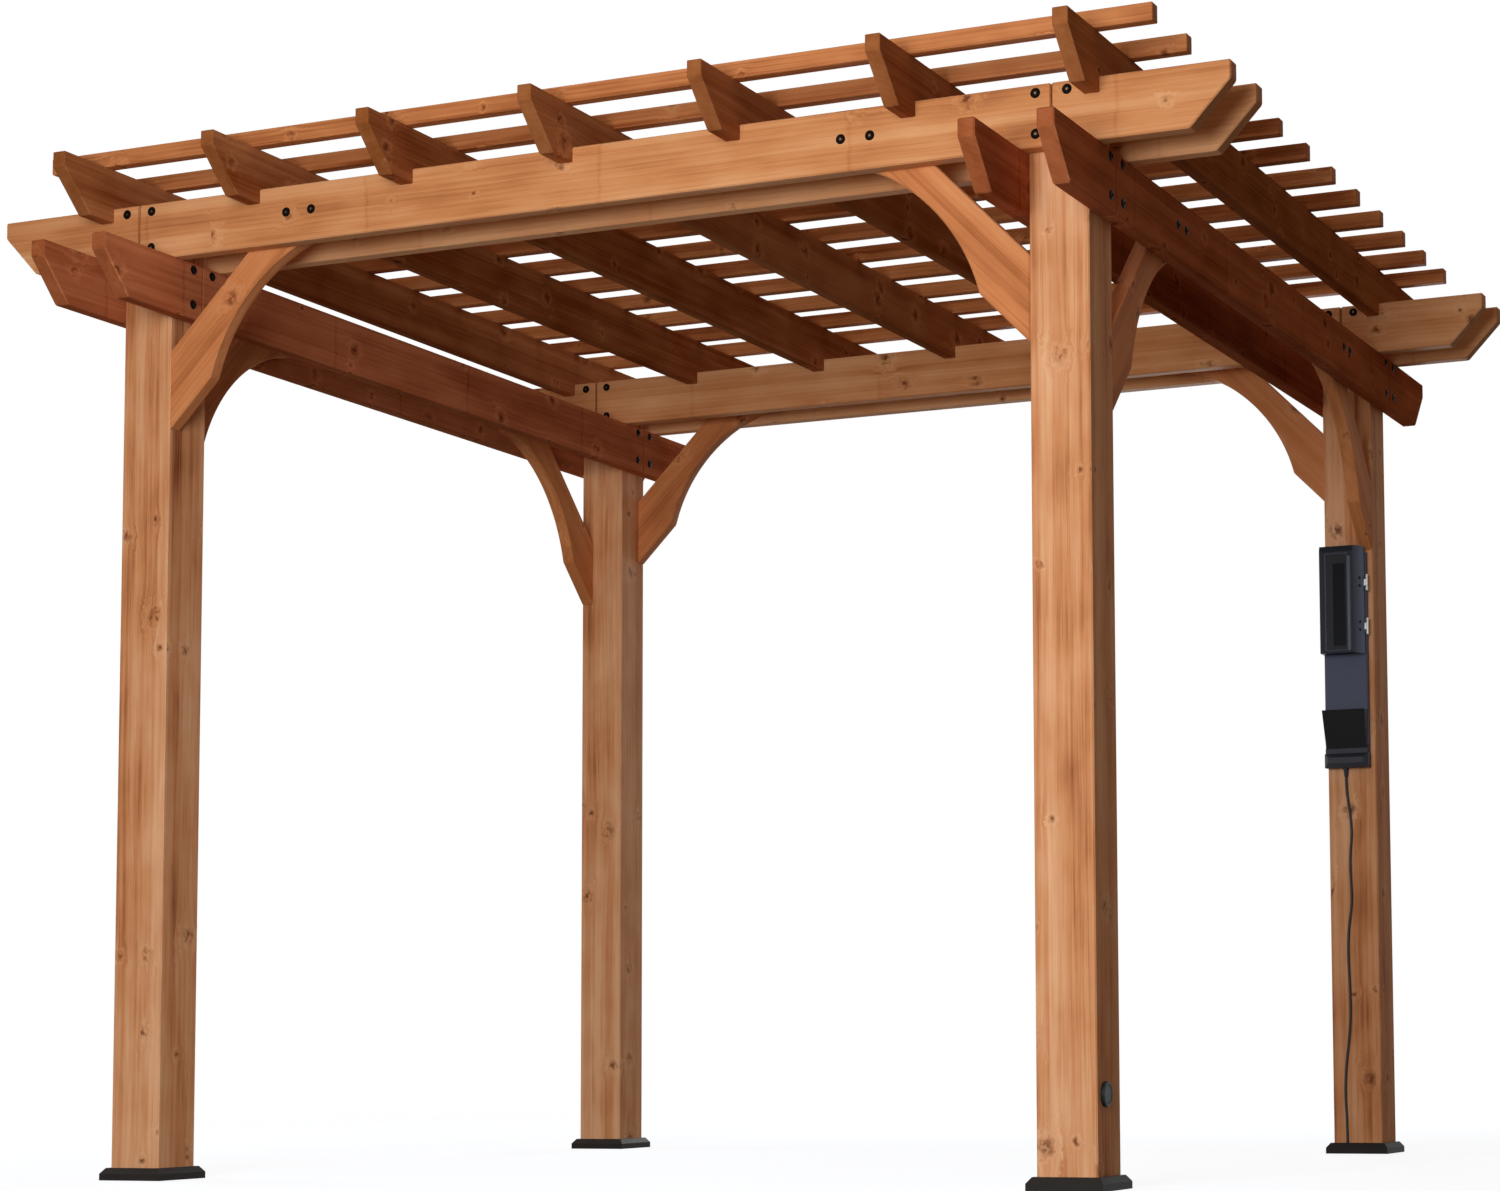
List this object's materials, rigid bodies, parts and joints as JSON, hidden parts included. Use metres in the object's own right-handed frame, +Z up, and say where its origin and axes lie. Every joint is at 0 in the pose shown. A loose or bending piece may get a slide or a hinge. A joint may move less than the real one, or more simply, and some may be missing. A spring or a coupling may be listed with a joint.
{
  "type": "wooden pergola",
  "caption": "Open cedar-stained pergola on square posts with paired beams, curved knee braces, notched rafters, cross slats and a power box on a back post",
  "frame": {"origin": "on the ground, midway between the four posts", "axes": "+X to the right along the front beams, +Y towards the back along the rafters, +Z up"},
  "size_m": [3.256, 2.968, 2.538],
  "materials": {
    "stained_wood": "semi-transparent cedar stain on planed boards with knots",
    "black_trim": "black moulded skirt",
    "box_plastic": "charcoal moulded housing with a fine grain",
    "smoked_pane": "dark smoked window",
    "outlet_plastic": "moulded outlet face",
    "hinge_steel": "plain steel hinge knuckles",
    "cable_sheath": "black round cable sheath"
  },
  "bodies": {
    "frame": {"cross_beam_back_inner": "stained_wood", "cross_beam_back_outer": "stained_wood", "cross_beam_front_inner": "stained_wood", "cross_beam_front_outer": "stained_wood", "cross_brace_back_left": "stained_wood", "cross_brace_back_right": "stained_wood", "cross_brace_front_left": "stained_wood", "cross_brace_front_right": "stained_wood", "foot_trim_back_left": "black_trim", "foot_trim_back_right": "black_trim", "foot_trim_front_left": "black_trim", "foot_trim_front_right": "black_trim", "post_back_left": "stained_wood", "post_back_right": "stained_wood", "post_front_left": "stained_wood", "post_front_right": "stained_wood", "power_box_body": "box_plastic", "power_box_hinges": "hinge_steel", "power_box_outlets": "outlet_plastic", "power_box_pocket": "box_plastic", "power_cable": "cable_sheath", "rafter_1": "stained_wood", "rafter_2": "stained_wood", "rafter_3": "stained_wood", "rafter_4": "stained_wood", "rafter_5": "stained_wood", "rafter_6": "stained_wood", "rafter_7": "stained_wood", "side_beam_left_inner": "stained_wood", "side_beam_left_outer": "stained_wood", "side_beam_right_inner": "stained_wood", "side_beam_right_outer": "stained_wood", "side_brace_back_left": "stained_wood", "side_brace_back_right": "stained_wood", "side_brace_front_left": "stained_wood", "side_brace_front_right": "stained_wood", "slat_01": "stained_wood", "slat_02": "stained_wood", "slat_03": "stained_wood", "slat_04": "stained_wood", "slat_05": "stained_wood", "slat_06": "stained_wood", "slat_07": "stained_wood", "slat_08": "stained_wood", "slat_09": "stained_wood", "slat_10": "stained_wood", "slat_11": "stained_wood", "slat_12": "stained_wood"},
    "cover": {"power_box_cover": "box_plastic", "power_box_window": "smoked_pane", "power_box_hinge_tabs": "hinge_steel"}
  },
  "joints": [
    {"name": "cover_hinge", "type": "hinge", "parent": "frame", "child": "cover", "pos_m": [1.2745, 1.0185, 1.5435], "axis": [0, 0, 1], "range_deg": [0, 110]}
  ]
}
